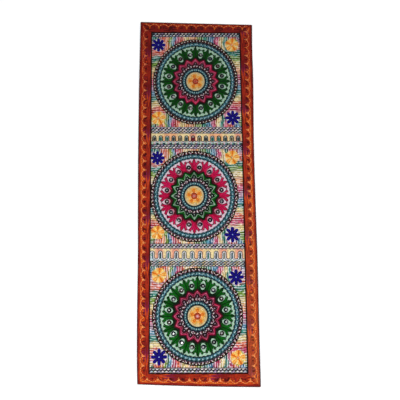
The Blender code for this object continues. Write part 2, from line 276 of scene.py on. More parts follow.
def resample(path, spacing, closed=False):
    """Places along a path, evenly spaced and about spacing apart."""
    path = as_path(path, closed)
    steps = np.hypot(*np.diff(path, axis=0).T)
    run = np.concatenate([[0.0], np.cumsum(steps)])
    count = max(1, round(run[-1] / spacing))
    at = np.linspace(0, run[-1], count + 1)
    return np.column_stack([np.interp(at, run, path[:, 0]), np.interp(at, run, path[:, 1])])


def resample_corners(path, spacing, closed=False):
    """As resample, with a place kept at every corner of the path."""
    path = as_path(path, closed)
    runs = [resample(path[i:i + 2], spacing)[:-1] for i in range(len(path) - 1)]
    return np.vstack(runs + [path[-1:]])


def painted_height_shade(y):
    """How much of the thread's colour is kept: painted shade, darker towards the upper end as the light falls
    off.
    """
    return np.interp(y, PAINTED_SHADE_HEIGHTS, PAINTED_SHADE_SHARES)


class Stitches:
    """The stitches of one piece: for each, its shape, place, heading, size and colour."""

    def __init__(self, name, slot, top):
        self.name = name
        self.slot = slot
        self.top = top
        self.laid = {shape: [] for shape in SHAPES}

    def place(self, shape, middles, headings, length, width, colour, lift=0.0):
        """Lays stitches: middles, length, width and lift in mm, headings as unit vectors."""
        count = len(middles)
        if not count:
            return
        if callable(colour):
            shade = colour(middles)
        elif isinstance(colour, str):
            shade = np.tile(COLOURS[colour], (count, 1))
        else:
            shade = thread_turns(colour, count)
        jitter = RNG.normal(0, 1, (count, 3))
        # Painted shade: every stitch is darkened towards the upper end of the cloth
        shade = np.clip(shade * (1 + DYE_SPREAD * jitter[:, :1]) * painted_height_shade(middles[:, 1])[:, None], 0, 1)
        turn = HEADING_SPREAD * jitter[:, 1]
        cos = np.cos(turn)
        sin = np.sin(turn)
        heading = np.column_stack([headings[:, 0] * cos - headings[:, 1] * sin,
                                   headings[:, 0] * sin + headings[:, 1] * cos])
        sizes = np.empty((count, 3))
        sizes[:, 0] = np.asarray(length) / LINK
        sizes[:, 1] = np.asarray(width) / ROW
        sizes[:, 2] = 1 + HEIGHT_SPREAD * jitter[:, 2]
        levels = np.full(count, self.top + lift + LEVEL)
        self.laid[shape].append(np.column_stack([middles, levels, heading, sizes, shade]))

    def row(self, path, colour, shape="link", length=LINK, width=ROW, lift=0.0, closed=False, keep=None,
            corners=False):
        """A run of stitches along a path, those whose middle passes keep."""
        holes = (resample_corners if corners else resample)(path, length, closed)
        middles = (holes[:-1] + holes[1:]) / 2
        headings = holes[1:] - holes[:-1]
        spans = np.hypot(*headings.T)
        headings = headings / np.maximum(spans, 1e-6)[:, None]
        if keep is not None:
            wanted = keep(middles)
            middles, headings, spans = middles[wanted], headings[wanted], spans[wanted]
        self.place(shape, middles, headings, spans, width, colour, lift)

    def strands(self, path, colour, length, width, lift, **more):
        """A run of straight stitches along a path."""
        self.row(path, colour, shape="strand", length=length, width=width, lift=lift, **more)

    def knots(self, middles, size, colour, lift):
        """Round knots at the given places."""
        middles = np.asarray(middles, float)
        self.place("knot", middles, np.tile([1.0, 0.0], (len(middles), 1)), size, size, colour, lift)

    def make(self, finish):
        """All of them as one mesh, with each stitch's colour on its points."""
        points, triangles, colours = [], [], []
        base = 0
        for shape, batches in self.laid.items():
            if not batches:
                continue
            form, faces = SHAPES[shape]
            rows = np.vstack(batches)
            x, y, level, cos, sin, long, wide, high = (rows[:, k:k + 1] for k in range(8))
            along = form[None, :, 0] * long
            across = form[None, :, 1] * wide
            up = level + form[None, :, 2] * high
            laid = [x + along * cos - across * sin, y + along * sin + across * cos, up]
            points.append(np.stack(laid, -1).reshape(-1, 3))
            shift = base + np.arange(len(rows))[:, None, None] * len(form)
            triangles.append((faces[None] + shift).reshape(-1, 3))
            colours.append(np.repeat(rows[:, 8:], len(form), axis=0))
            base += len(rows) * len(form)
        points = np.vstack(points) * MM
        colours = np.vstack(colours)
        mesh = bpy.data.meshes.new(self.name)
        mesh.from_pydata(points, [], np.vstack(triangles))
        paint_points(mesh, colours)
        mesh.shade_smooth()
        mesh.materials.append(finish)
        piece = bpy.data.objects.new(self.name, mesh)
        bpy.context.scene.collection.objects.link(piece)
        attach(piece, "root")
        return piece, points[:, :2] / MM, colours


def paint_points(mesh, colours):
    attribute = mesh.color_attributes.new("thread", "FLOAT_COLOR", "POINT")
    full = np.column_stack([colours, np.ones(len(colours))]).astype(np.float32)
    attribute.data.foreach_set("color", full.ravel())


# Lines of the pattern

def smooth_path(points, steps):
    """Points spaced evenly by count on a smooth curve through the given ones."""
    last = len(points) - 1
    path = []
    for step in range(steps + 1):
        place = step / steps * last
        i = min(int(place), last - 1)
        u = place - i
        p0, p1, p2, p3 = (points[min(max(i + k, 0), last)] for k in (-1, 0, 1, 2))
        path.append(tuple(
            0.5 * (2 * b + (c - a) * u + (2 * a - 5 * b + 4 * c - d) * u**2 + (3 * b - a - 3 * c + d) * u**3)
            for a, b, c, d in zip(p0, p1, p2, p3)))
    return np.array(path)


def rise(x, amount):
    """How far a row has climbed at x, when it climbs by amount across the field."""
    return amount * x / FIELD_WIDTH


def polar(centre, radius, angle):
    """Points on a medallion's circle; angle 0 is straight up the cloth, growing clockwise."""
    return np.stack([centre[0] + radius * np.sin(angle), centre[1] + STRETCH * radius * np.cos(angle)], -1)


def to_polar(centre, points):
    x = points[:, 0] - centre[0]
    y = (points[:, 1] - centre[1]) / STRETCH
    return np.hypot(x, y), np.arctan2(x, y)


def circle(centre, radius, count=96):
    return polar(centre, radius, np.linspace(0, math.tau, count, endpoint=False))


def leaf_share(angle):
    """Where an angle lies between a leaf's middle, 0, and the middle of the next eye, 1."""
    turn = np.mod(angle + HALF_STEP, 2 * HALF_STEP) - HALF_STEP
    return np.abs(turn) / HALF_STEP


def field_sides(y):
    """The field's left and right edges at height y."""
    share = (FIELD_TOP_LEFT[1] - y) / (FIELD_TOP_LEFT[1] - FIELD_BOTTOM_LEFT[1])
    left = FIELD_TOP_LEFT[0] + (FIELD_BOTTOM_LEFT[0] - FIELD_TOP_LEFT[0]) * share
    right = FIELD_TOP_RIGHT[0] + (FIELD_BOTTOM_RIGHT[0] - FIELD_TOP_RIGHT[0]) * share
    return left, right


# Medallions

MEDALLION_THREADS = {
    "upper": {"leaf": ("moss", "leaf", "leaf"), "vein": "ink", "ground": "mint", "ring": "umber",
              "star": ("wine", "cherry", "rosebud"), "star_light": "rose", "eye_heart": "lilac",
              "mirror_shows": 1.8, "eye_foot": "mint", "close": ("ink", "mint", "fern")},
    "middle": {"leaf": ("wine", "crimson", "magenta"), "vein": "crimson", "ground": "blush", "ring": "lilac",
               "star": ("moss", "leaf", "fern"), "star_light": "mint", "eye_heart": "mint",
               "mirror_shows": 2.4, "eye_foot": "rosebud", "close": ("teal", "slate", "ice")},
    "lower": {"leaf": ("moss", "leaf", "fern"), "vein": "moss", "ground": "mint", "ring": "lilac",
              "star": ("wine", "wine", "rosebud"), "star_light": "rose", "eye_heart": "lilac",
              "mirror_shows": 3.2, "eye_foot": "mint", "close": ("ink", "mint", "slate")},
}
# Plain rings, as (radius, threads in turn along it), where "ring" is the medallion's own ring thread
RINGS = (
    (29.7, ("umber", "deep_teal")), (31.6, ("deep_teal", "ink", "deep_teal")), (33.5, ("teal", "deep_teal")),
    (37.3, ("teal", "deep_teal", "teal")), (39.5, ("ink", "slate", "night")), (41.6, ("ink", "night")),
    (43.5, ("maroon", "ring", "ink", "slate", "ink")), (48.2, ("umber", "lilac", "ink")),
    (108.8, ("ink", "night")), (111.2, ("deep_teal", "teal")), (113.6, ("teal", "teal", "sky")),
    (115.8, ("teal", "ice", "deep_teal")), (118.0, ("teal", "deep_teal", "deep_teal")),
    (120.1, ("ink", "slate", "night")), (122.0, ("umber", "slate", "ink")),
    (124.0, ("umber", "ring", "maroon")), (128.4, ("umber", "ink", "umber", "khaki")),
    (130.4, ("ink", "umber")))
# Rings of round knots, as (radius, how many, knot size, threads between them, knot thread)
KNOT_RINGS = ((35.3, 32, 3.3, ("teal",), "ice"), (46.0, 33, 3.3, ("maroon", "ink"), "bead_white"),
              (126.4, 84, 3.3, ("umber", "maroon"), "bead_white"))
# The ring that closes the wreath, and the pale patches outside it
CLOSING_RADIUS = 107.2
PATCH_RADIUS = 114.4
PATCHES = 44
PATCH_STRAY = 0.3
# Stitches round the rim of a mirror
RIM_STITCHES = 22
# The gold flower in a medallion's heart: its turn, the cord round the mirror, its petals, and how many
# spokes of thread it has and between which radii they run
HEART_TURN = {"upper": 0.2, "middle": 0.1, "lower": 0.0}
HEART_CORD_RADIUS = 7.6
HEART_PETALS = 5
HEART_SPOKES = 60
HEART_SPAN = (9.0, 28.4)


def stitch_rings(stitches, centre, ring_thread):
    """The round bands; ring_thread goes where a band's run says ring."""
    for radius, run in RINGS:
        threads = [ring_thread if name == "ring" else name for name in run]
        stitches.row(circle(centre, radius), threads, closed=True)
    for radius, count, size, between, knot in KNOT_RINGS:
        stitches.row(circle(centre, radius), between, closed=True)
        angles = math.tau * (np.arange(count) + 0.5) / count
        stitches.knots(polar(centre, radius, angles), size, knot, lift=0.45)
    patches = math.tau * (np.arange(PATCHES) + RNG.uniform(-PATCH_STRAY, PATCH_STRAY, PATCHES)) / PATCHES
    stitches.knots(polar(centre, PATCH_RADIUS, patches), 3.6, "ice", lift=0.35)


def rim_headings():
    """Unit vectors that point out all round a mirror, one for each stitch over its rim."""
    turns = math.tau * np.arange(RIM_STITCHES) / RIM_STITCHES
    return np.column_stack([np.cos(turns), np.sin(turns)])


def outwards(names, radius, start, step):
    """Colours of a run of threads that changes outwards: its first at start, then one every step."""
    return blend_threads(names, np.clip((radius - start) / step, 0, len(names) - 1))


def stitch_heart(stitches, centre, turn, mirror_shows):
    """The gold flower round the heart mirror, in long satin stitches."""
    headings = rim_headings()
    reach = (mirror_shows + 7.0) / 2
    stitches.place("strand", np.array(centre) + reach * headings, headings, HEART_CORD_RADIUS - mirror_shows,
                   1.8, ("salmon", "brick", "vermilion"), lift=1.25)
    stitches.row(circle(centre, HEART_CORD_RADIUS, 24), "brick", length=3.0, closed=True, lift=0.45)

    def petal_colour(points):
        radius, angle = to_polar(centre, points)
        wave = np.abs(np.cos(HEART_PETALS / 2 * (angle + turn)))
        warm = outwards(("shell", "gold", "gold", "yellow"), radius, 8, 6.5)
        streak = outwards(("orange", "orange", "amber", "gold"), radius, 9, 5.6)
        pale = outwards(("yellow", "cream", "sand"), radius, 14, 5.5)
        in_streak = wave * np.interp(radius, (9, 20, 25), (1.15, 1.0, 0.7)) > 0.82
        in_petal = radius < 19.0 + 5.5 * wave
        return np.where(in_petal[:, None], np.where(in_streak[:, None], streak, warm), pale)

    for i in range(HEART_SPOKES):
        angle = math.tau * i / HEART_SPOKES
        stitches.strands(polar(centre, np.linspace(*HEART_SPAN, 9), angle), petal_colour, 4.6, 2.9, 0.15)
    for i in range(2 * HEART_PETALS):
        angle = math.tau * i / (2 * HEART_PETALS) - turn
        reach = 24.0 if i % 2 else 17.0
        name = ("amber", "gold")[i % 2]
        stitches.strands(polar(centre, np.linspace(10.0, reach, 8), angle), name, 6.0, 1.7, 0.55)


# Lines in a star's point, and a leaf's ribs, as (radius, share of the half step to one side)
GABLE = ((67.4, 0.0), (60.0, 0.42), (53.0, 0.9))
GABLE_SHADOW = ((64.0, 0.0), (57.4, 0.45), (52.4, 0.7))
LEAF_RIB = ((84, 0.1), (93, 0.28), (101, 0.56))
STAR_INNERMOST = 50.2
STAR_EYE_RADIUS = 54.0


def beside(centre, angle, side, places):
    """A line through places given as (radius, share of the half step) to one side of an angle."""
    return [polar(centre, radius, angle + side * share * HALF_STEP) for radius, share in places]


def spoke(centre, outer, inner, angle):
    """A straight line inwards at an angle."""
    return [polar(centre, outer, angle), polar(centre, inner, angle)]


def star_line(centre, inset):
    """The star's points and hollows, moved in towards the middle by inset."""
    angles = np.arange(2 * LEAVES) * HALF_STEP
    radii = np.where(np.arange(2 * LEAVES) % 2, STAR_NOTCH, STAR_TIP) - inset
    return polar(centre, np.maximum(radii, STAR_INNERMOST), angles)


def stitch_star(stitches, centre, threads):
    """Nested zigzag rows, with a small eye of thread in each point."""
    dark, mid, bright = threads["star"]
    light = threads["star_light"]
    dyes = RNG.uniform(0.6, 1.35, (LEAVES, 1)) * RNG.uniform(0.85, 1.2, (LEAVES, 3))

    def of_point(name):
        """A thread as it was dyed for each point of the star."""
        def colour(points):
            angle = to_polar(centre, points)[1]
            which = np.floor(np.mod(angle + HALF_STEP, math.tau) / (2 * HALF_STEP)).astype(int) % LEAVES
            return COLOURS[name] * dyes[which]
        return colour

    rows = ((0.0, "ink"), (2.1, dark), (4.3, mid), (6.4, bright), (8.5, mid), (10.6, "umber"), (12.7, mid),
            (14.8, "ink"), (17.0, dark))
    for inset, name in rows:
        stitches.row(star_line(centre, inset), of_point(name), length=3.6, lift=0.1, closed=True,
                     corners=True)
    for i in range(LEAVES):
        angle = 2 * HALF_STEP * i
        middle = polar(centre, STAR_EYE_RADIUS, angle)
        stitches.knots([middle], 5.6, "ink", lift=0.25)
        stitches.row(circle(middle, 3.2, 16), "ink", length=2.4, width=2.4, closed=True, lift=0.55)
        stitches.knots([middle], 3.1, threads["eye_heart"], lift=0.8)
        fullness = RNG.uniform(0.6, 1.25)
        stitches.strands(spoke(centre, 67.0, 59.6, angle), light, 4.0, 2.4 * fullness, 0.45)
        for side in (-1, 1):
            stitches.strands(beside(centre, angle, side, GABLE_SHADOW), "ink", 4.0, 1.3, 0.45)
            stitches.strands(beside(centre, angle, side, GABLE), light, 4.0, 1.9 * fullness, 0.55)
        stitches.strands(spoke(centre, 64.6, 58.5, angle + HALF_STEP), "ink", 3.0, 2.2, 0.45)


def eye_outline(centre, i):
    """The pointed oval of bare cloth round a mirror, between two leaves."""
    middle = (2 * i + 1) * HALF_STEP
    radii = np.array(EYE_RADII)
    shares = np.array(EYE_SHARES) * HALF_STEP
    right = polar(centre, radii, middle + shares)
    left = polar(centre, radii[::-1], middle - shares[::-1])
    return np.vstack([right, left[1:-1]])


def leaf_outline(centre, i):
    """A leaf's three tips, from the eye on its left to the eye on its right."""
    shares = np.array(LEAF_OUTER_SHARES)
    radii = np.array(LEAF_OUTER_RADII)
    angles = np.concatenate([-shares[::-1], shares[1:]]) * HALF_STEP + 2 * i * HALF_STEP
    return polar(centre, np.concatenate([radii[::-1], radii[1:]]), angles)


# Rows of the wreath, sixteen to a leaf
WREATH_ROWS = LEAVES * 16


def stitch_wreath(stitches, centre, threads):
    """Leaves and the pale cloth between them, in rows that run outwards."""
    dark, mid, bright = threads["leaf"]
    fresh = RNG.uniform(-0.55, 0.55, 2 * LEAVES)

    def colour(points):
        radius, angle = to_polar(centre, points)
        share = leaf_share(angle)
        in_eye = 1 - share < np.interp(radius, EYE_RADII, EYE_SHARES, 0, 0)
        in_leaf = (radius < np.interp(share, LEAF_OUTER_SHARES, LEAF_OUTER_RADII)) & ~in_eye
        # Painted shade: each leaf is darker at its foot by the star and next to the eyes; the rest of this
        # blend is the leaves' own tone of thread, with a random part for each half leaf
        tone_and_painted_shade = np.interp(radius, (66, 76, 84, 92, 106), (-0.5, 0.1, 0.9, 1.4, 0.5))
        tone_and_painted_shade += 0.8 * np.sin(9 * share) ** 2
        tone_and_painted_shade += fresh[np.floor(np.mod(angle, math.tau) / HALF_STEP).astype(int) % (2 * LEAVES)]
        shade = blend_threads((dark, mid, bright, bright), np.clip(tone_and_painted_shade - 0.8 * (share > 0.8), 0, 2))
        warmed = np.clip((82 - radius) / 9, 0, 0.6)[:, None]
        pale = COLOURS[threads["ground"]] * (1 - warmed) + COLOURS[threads["eye_foot"]] * warmed
        return np.where(in_leaf[:, None], shade, pale)

    def outside_star(points):
        radius, angle = to_polar(centre, points)
        return radius > STAR_TIP + (STAR_NOTCH - STAR_TIP) * leaf_share(angle) + 1.2

    for i in range(WREATH_ROWS):
        angle = math.tau * (i + 0.5) / WREATH_ROWS
        start = 64.0 + 1.0 * (i % 3)
        stitches.row(polar(centre, np.linspace(start, 107.6, 12), angle), colour, length=3.0, width=2.5,
                     keep=outside_star)
    for i in range(LEAVES):
        angle = 2 * HALF_STEP * i
        stitches.row(leaf_outline(centre, i), (dark, "ink"), length=2.6, width=1.7, lift=0.25)
        stitches.row(eye_outline(centre, i), (dark, "ink", dark), length=3.0, width=2.0, lift=0.25,
                     closed=True)
        vein = polar(centre, np.linspace(77.0, 104.0, 6), angle)
        stitches.row(vein, threads["vein"], length=4.0, width=2.3, lift=0.3)
        for side in (-1, 1):
            stitches.strands(beside(centre, angle, side, LEAF_RIB), dark, 5.6, 1.5, 0.4)


def mirror_middle(centre, i):
    return polar(centre, MIRROR_RING_RADIUS, (2 * i + 1) * HALF_STEP)


def stitch_mirror_rings(stitches, centre):
    """Buttonhole stitches over the rim of each mirror, inside a dark chain."""
    headings = rim_headings()
    for i in range(LEAVES):
        middle = mirror_middle(centre, i)
        thread = ("ink", "night", "umber")[i % 3]
        stitches.place("strand", middle + 4.0 * headings, headings, 4.5, 1.8, thread, lift=1.3)
        stitches.row(middle + 5.9 * headings[::2], "ink", length=2.8, width=2.2, closed=True, lift=0.6)


def medallion(panel, finish):
    centre = MEDALLIONS[panel]
    threads = MEDALLION_THREADS[panel]
    stitches = Stitches("medallion_stitches_" + panel, "stitched_cotton", CLOTH_TOP)
    stitch_heart(stitches, centre, HEART_TURN[panel], threads["mirror_shows"])
    stitch_rings(stitches, centre, threads["ring"])
    stitches.row(circle(centre, CLOSING_RADIUS), threads["close"], width=1.9, closed=True, lift=0.2)
    stitch_star(stitches, centre, threads)
    stitch_wreath(stitches, centre, threads)
    stitch_mirror_rings(stitches, centre)
    return stitches.make(finish)


# Panel grounds and corner flowers

# Where the thread changes: across the cloth in mm, and down a panel as a share of its height
FILL_ACROSS = ((-136, "sea"), (-103, "salmon"), (-94, "peach"), (-85, "lime"), (-76, "sky"), (-64, "rose"),
               (-52, "salmon"), (-38, "cream"), (-15, "peach"), (12, "lime"), (26, "sea"), (44, "sky"),
               (60, "rose"), (74, "cream"), (86, "sea"), (97, "rose"), (108, "salmon"), (136, "sky"))
FILL_DOWN = ((0.0, "sky"), (0.08, "lilac"), (0.17, "salmon"), (0.24, "sea"), (0.29, "lime"), (0.35, "cream"),
             (0.43, "peach"), (0.51, "rose"), (0.57, "lilac"), (0.63, "sky"), (0.68, "sea"), (0.74, "cream"),
             (0.80, "salmon"), (0.85, "rose"), (0.93, "cream"), (1.0, "lime"))
FILL_SHIFT = {"upper": 0.02, "middle": 0.05, "lower": -0.01}
# In each panel: how much white the light thread has, and the power that deepens the dark one
FILL_PALE = {"upper": 0.42, "middle": 0.60, "lower": 0.68}
FILL_DEPTH = {"upper": 1.9, "middle": 1.6, "lower": 1.5}
WHITE_THREAD = COLOURS["pearl"]
# How far along a row one strength of thread lasts
STRENGTH_RUN = 11.0
# Round the flowers: the threads there, how far across and down each lasts, and how far out they go
FLOWER_CELLS = ((BLUE_FLOWERS, ("lavender", "pearl", "lilac", "pearl"), 5.0, 13.0),
                (GOLD_FLOWERS, ("cream", "yellow", "lime", "cream", "peach"), 7.0, 9.0))
CELL_MARGIN = 2.0
# Petals: half their width, rows in one, where they start, and how much shorter their outer rows are
BLUE_PETAL = {"half_width": 3.6, "rows": 8, "start": 1.0, "taper": 0.45}
GOLD_PETAL = {"half_width": 9.4, "rows": 11, "start": 3.0, "taper": 0.82}
# Along a petal: how much of its width it has
PETAL_FAN = (0.30, 0.62, 0.86, 1.0, 1.0, 0.92)


def changing_thread(changes, place):
    """Colours of a run whose thread changes at the listed places."""
    at = [start for start, name in changes]
    return blend_threads([name for start, name in changes], np.interp(place, at, np.arange(len(at))))


def scatter(row, stretch):
    """From 0 to 1 for each stretch of each row, in no order that shows, and always the same."""
    return np.mod(np.sin(12.9898 * row + 78.233 * stretch) * 43758.5453, 1)


def light_and_dark(shade, step, along, panel):
    """A row of one colour in light, full and dark thread by turns; every ninth row is dark all along."""
    change = scatter(step + 3, np.floor(along / STRENGTH_RUN + 0.37 * step))
    turn = (0.45 * change + 0.275 * (step % 3) + RNG.normal(0, 0.13, len(along)))[:, None]
    light = (1 - FILL_PALE[panel]) * shade + FILL_PALE[panel] * WHITE_THREAD
    deep = shade ** FILL_DEPTH[panel] * 0.60
    if step % 9 == 4:
        return deep
    return np.where(turn < 0.34, light, np.where(turn < 0.66, shade, deep))


def near_flower(points, flowers):
    """Whether each point lies in the cell round one of the flowers."""
    near = np.zeros(len(points), bool)
    for x, y, radius in flowers:
        near |= np.hypot(points[:, 0] - x, points[:, 1] - y) < radius + CELL_MARGIN
    return near


def fill_panel(stitches, panel):
    """Rows of variegated thread square to the panel's edges, round the medallion."""
    centre = MEDALLIONS[panel]
    top, bottom = PANELS[panel]
    middle = (top + bottom) / 2
    half_height = (top - bottom) / 2

    def outside(points):
        return to_polar(centre, points)[0] > MEDALLION_RADIUS + 1.4

    def upright_part(points):
        across = np.abs(points[:, 0]) / (FIELD_WIDTH / 2)
        return np.abs(points[:, 1] - middle) / half_height > across

    def colour_along(axis, step):
        def colour(points):
            wander = 3.0 * np.sin(points[:, 1 - axis] / 6.0 + points[:, axis] / 23.0)
            place = points[:, axis] + wander
            if axis:
                down = (top - place) / (top - bottom)
                shade = changing_thread(FILL_DOWN, down + FILL_SHIFT[panel] + 0.03 * np.sign(points[:, 0]))
            else:
                shade = changing_thread(FILL_ACROSS, place - 6.0 * np.sign(points[:, 1] - middle))
            shade = light_and_dark(shade, step, points[:, 1 - axis], panel)
            for flowers, names, across, down in FLOWER_CELLS:
                cell = blend_threads(names, points[:, 0] / across + points[:, 1] / down)
                shade = np.where(near_flower(points, flowers[panel])[:, None], cell, shade)
            return shade
        return colour

    left, right = field_sides(middle)
    for step, x in enumerate(np.arange(left + FIRST_ROW, right - LAST_ROW, ROW)):
        y = np.linspace(bottom, top, 60)
        sway = np.clip(x + 1.1 * np.sin(y / 9.0 + x / 31.0), left + 1.2, right - 1.2)
        stitches.row(np.column_stack([sway, y + rise(x, BAND_RISE)]), colour_along(0, step),
                     keep=lambda p: outside(p) & upright_part(p))
    for step, y in enumerate(np.arange(bottom + FIRST_ROW, top - LAST_ROW, ROW)):
        left, right = field_sides(y)
        x = np.linspace(left + 1.0, right - 1.0, 60)
        sway = np.clip(y + 1.1 * np.sin(x / 9.0 + y / 31.0), bottom + 1.4, top - 1.4)
        stitches.row(np.column_stack([x, sway]), colour_along(1, step),
                     keep=lambda p: outside(p) & ~upright_part(p))


def petal(stitches, x, y, angle, reach, names, half_width, rows, start, taper):
    """One satin petal: strands side by side, its middle strands the longest; taper points the tip."""
    out = np.array([math.sin(angle), math.cos(angle)])
    side = np.array([out[1], -out[0]])
    for k in range(rows):
        offset = (k - (rows - 1) / 2) / ((rows - 1) / 2)
        bow = math.sqrt(1 - taper * offset * offset)
        near = start + (1 - bow) * 0.45 * reach
        far = reach * (0.50 + 0.50 * bow)
        path = [np.array([x, y]) + out * (near + (far - near) * t) + side * offset * half_width * f
                for t, f in zip(np.linspace(0, 1, len(PETAL_FAN)), PETAL_FAN)]
        name = names[min(int(abs(offset) * len(names)), len(names) - 1)]
        stitches.strands(path, name, 4.4, 3.8, 0.55)


def corner_flowers(stitches, panel):
    """A flower in each corner of a panel: two blue with eight petals, two gold with five."""
    for x, y, radius in BLUE_FLOWERS[panel]:
        for i in range(8):
            petal(stitches, x, y, math.tau * i / 8, radius + 3.2, ("ultramarine", "indigo"), **BLUE_PETAL)
        stitches.knots([(x, y)], 3.4, "ice", lift=0.9)
    for x, y, radius in GOLD_FLOWERS[panel]:
        for i in range(5):
            names = (("orange", "gold", "amber", "yellow"), ("gold", "orange", "yellow", "sand"))[i % 2]
            petal(stitches, x, y, math.tau * (i + 0.1) / 5, radius + 2.0, names, **GOLD_PETAL)
        stitches.knots([(x, y)], 3.4, "vermilion", lift=0.9)


def panel_ground(panel, finish):
    stitches = Stitches("panel_stitches_" + panel, "stitched_cotton", CLOTH_TOP)
    fill_panel(stitches, panel)
    corner_flowers(stitches, panel)
    return stitches.make(finish)


# Zigzag rows and the two bands

# Threads of a zigzag row: its ground and its pale openings, where it is wide, narrow and the darkest
ZIGZAG_GROUNDS = {"wide": ("lilac", "dove", "khaki", "dove"), "narrow": ("khaki", "dove", "lilac", "slate"),
                  "darkest": ("slate", "violet", "dove", "umber")}
ZIGZAG_PALE = {"wide": ("ice", "bead_white", "lavender", "bead_white", "bead_white"),
               "narrow": ("bead_white", "ice", "cream")}
NARROW_HALF = 4
OPENING_SLANT = math.radians(9)
OPENING_LENGTH = 8.2


def zigzag_row(stitches, y, half, climb):
    """A dark zigzag between dark rows, with a slanted pale opening over and under it in turn."""
    narrow = half < NARROW_HALF
    width = "narrow" if narrow else "wide"
    grounds = ZIGZAG_GROUNDS["darkest" if y == ZIGZAGS[0][0] else width]
    left, right = field_sides(y)
    left += 1.2
    right -= 1.2

    def level(offset):
        return [(left, y + offset + rise(left, climb)), (right, y + offset + rise(right, climb))]

    for offset in np.arange(-half + 0.2, half, 1.9):
        stitches.row(level(offset), grounds)
    for offset in (-half - 1.0, half + 1.0):
        stitches.row(level(offset), ("ink", "umber", "ink", "dove"), width=2.0)
    x = np.linspace(left, right, 2 * ZIGZAG_TEETH + 1)
    swing = np.where(np.arange(len(x)) % 2, 0.5, -0.5) * half
    middle = y + rise(x, climb)
    stitches.row(np.column_stack([x, middle + swing]), ("ink", "ink", "umber", "night"), length=3.0,
                 width=2.5 if narrow else 3.1, lift=0.4, corners=True)
    heading = np.array([[math.cos(OPENING_SLANT), math.sin(OPENING_SLANT)]])
    for first, side in ((2, 1), (1, -1)):
        openings = np.column_stack([x, middle + side * 0.52 * half])[first:-1:2]
        stitches.place("strand", openings, np.repeat(heading, len(openings), axis=0), OPENING_LENGTH,
                       2.4 if narrow else 3.4, ZIGZAG_PALE[width], lift=0.5)


def fill_band(stitches, band, ground, length=LINK):
    """Upright rows from side to side of a band."""
    left, right = field_sides(band["top"])
    for x in np.arange(left + FIRST_ROW, right - LAST_ROW, ROW):
        climb = rise(x, BAND_RISE)
        stitches.row([(x, band["bottom"] + climb), (x, band["top"] + climb)], ground, length=length)


# Threads of the keyhole loops, in turn along the band
LOOP_HEARTS = ("ink", "deep_teal", "deep_teal", "umber", "umber", "ink", "maroon", "umber")
LOOP_INSIDES = ("slate", "sea", "sea", "teal", "khaki", "teal", "plum", "khaki")
LOOP_RIMS = ("ink", "deep_teal", "slate", "umber", "umber", "ink", "umber")


def keyhole(x, y):
    """The outline of one round-topped loop, from its lower left round to its lower right."""
    left_leg = [(-5.6, -10.6), (-5.1, -5.0), (-5.1, 1.0)]
    crown = [(-5.1 * math.cos(t), 1.0 + 5.2 * math.sin(t)) for t in np.linspace(0.3, math.pi - 0.3, 7)]
    right_leg = [(-across, up) for across, up in reversed(left_leg)]
    return [(x + across, y + up) for across, up in left_leg + crown + right_leg]


def stitch_loop(stitches, band, i, x):
    """One keyhole loop, and the scallop, pale stitch and dark stitch below it."""
    y = band["middle"] + rise(x, BAND_RISE)
    heart, inside, rim = (run[i % len(run)] for run in (LOOP_HEARTS, LOOP_INSIDES, LOOP_RIMS))
    for offset in (-2.7, 2.7):
        stitches.row([(x + offset, y - 10.0), (x + offset, y + 2.6)], inside, length=3.2, lift=0.25)
    stitches.row([(x, y - 10.0), (x, y + 1.4)], heart, length=3.8, width=3.0, lift=0.5)
    stitches.strands([(x - 3.2, y + 1.6), (x, y + 4.0), (x + 3.2, y + 1.6)], ("ice", "pearl"), 3.6, 2.0, 0.5)
    stitches.row(keyhole(x, y), rim, length=3.0, width=2.5, lift=0.5)
    tongue = x + band["pitch"] / 2
    for drop, reach, name in ((0.2, 4.6, rim), (2.4, 6.0, "pearl")):
        hollow = [(tongue + reach * math.sin(t), y - 9.0 - drop - 2.4 * math.cos(t))
                  for t in np.linspace(-1.2, 1.2, 7)]
        stitches.row(hollow, name, length=3.0, width=2.0, lift=0.4)
    for middle, half, drop, name in ((x, 4.6, 15.6, "pearl"), (tongue, 4.0, 18.6, "ink")):
        stitches.strands([(middle - half, y - drop), (middle + half, y - drop)], name, 2 * half, 2.6, 0.45)


def eye_band(stitches):
    """Keyhole loops on a cream ground over a row of grey-green scallops."""
    band = EYE_BAND
    left, right = field_sides(band["top"])

    def ground(points):
        turn = (points[:, 0] - band["first"]) / band["pitch"]
        shade = blend_threads(("cream", "sand", "peach", "peach", "sand", "cream", "shell"), turn)
        edge = (np.abs(np.mod(turn, 1) - 0.34) < 0.04) & (np.mod(np.floor(turn), 3) > 0)
        low = points[:, 1] < 180.0
        return np.where((edge & low)[:, None], COLOURS["amber"], shade)

    def level(y):
        return [(left + 1, y + rise(left, BAND_RISE)), (right - 1, y + rise(right, BAND_RISE))]

    fill_band(stitches, band, ground)
    for y in np.arange(band["scallops"] + 2.0, band["bottom"], ROW):
        stitches.row(level(y), ("mint", "khaki", "lilac", "sea", "slate"))
    for i, x in enumerate(band["first"] + band["pitch"] * np.arange(band["count"])):
        stitch_loop(stitches, band, i, x)
    for drop, names in ((0.0, ("ink", "umber", "violet")), (2.0, ("violet", "dove", "ink", "dove"))):
        stitches.row(level(band["scallops"] - drop), names, width=2.5, lift=0.3)


def meander_line(band, inset):
    """The battlement line of the lower band, moved in from its corners by inset."""
    quarter = band["pitch"] / 4
    corner = band["corner"]
    path = []
    for i in range(band["count"]):
        x = band["first"] + band["pitch"] * i
        turns = ((x, quarter - inset, band["line_top"] - inset, corner),
                 (x + 2 * quarter, quarter + inset, band["line_bottom"] - inset, -corner))
        for middle, half, level, bow in turns:
            path += [(middle - half * math.cos(t), level - bow + bow * math.sin(t))
                     for t in np.linspace(0, math.pi, 7)]
    return np.array([(x, y + rise(x, BAND_RISE)) for x, y in path])


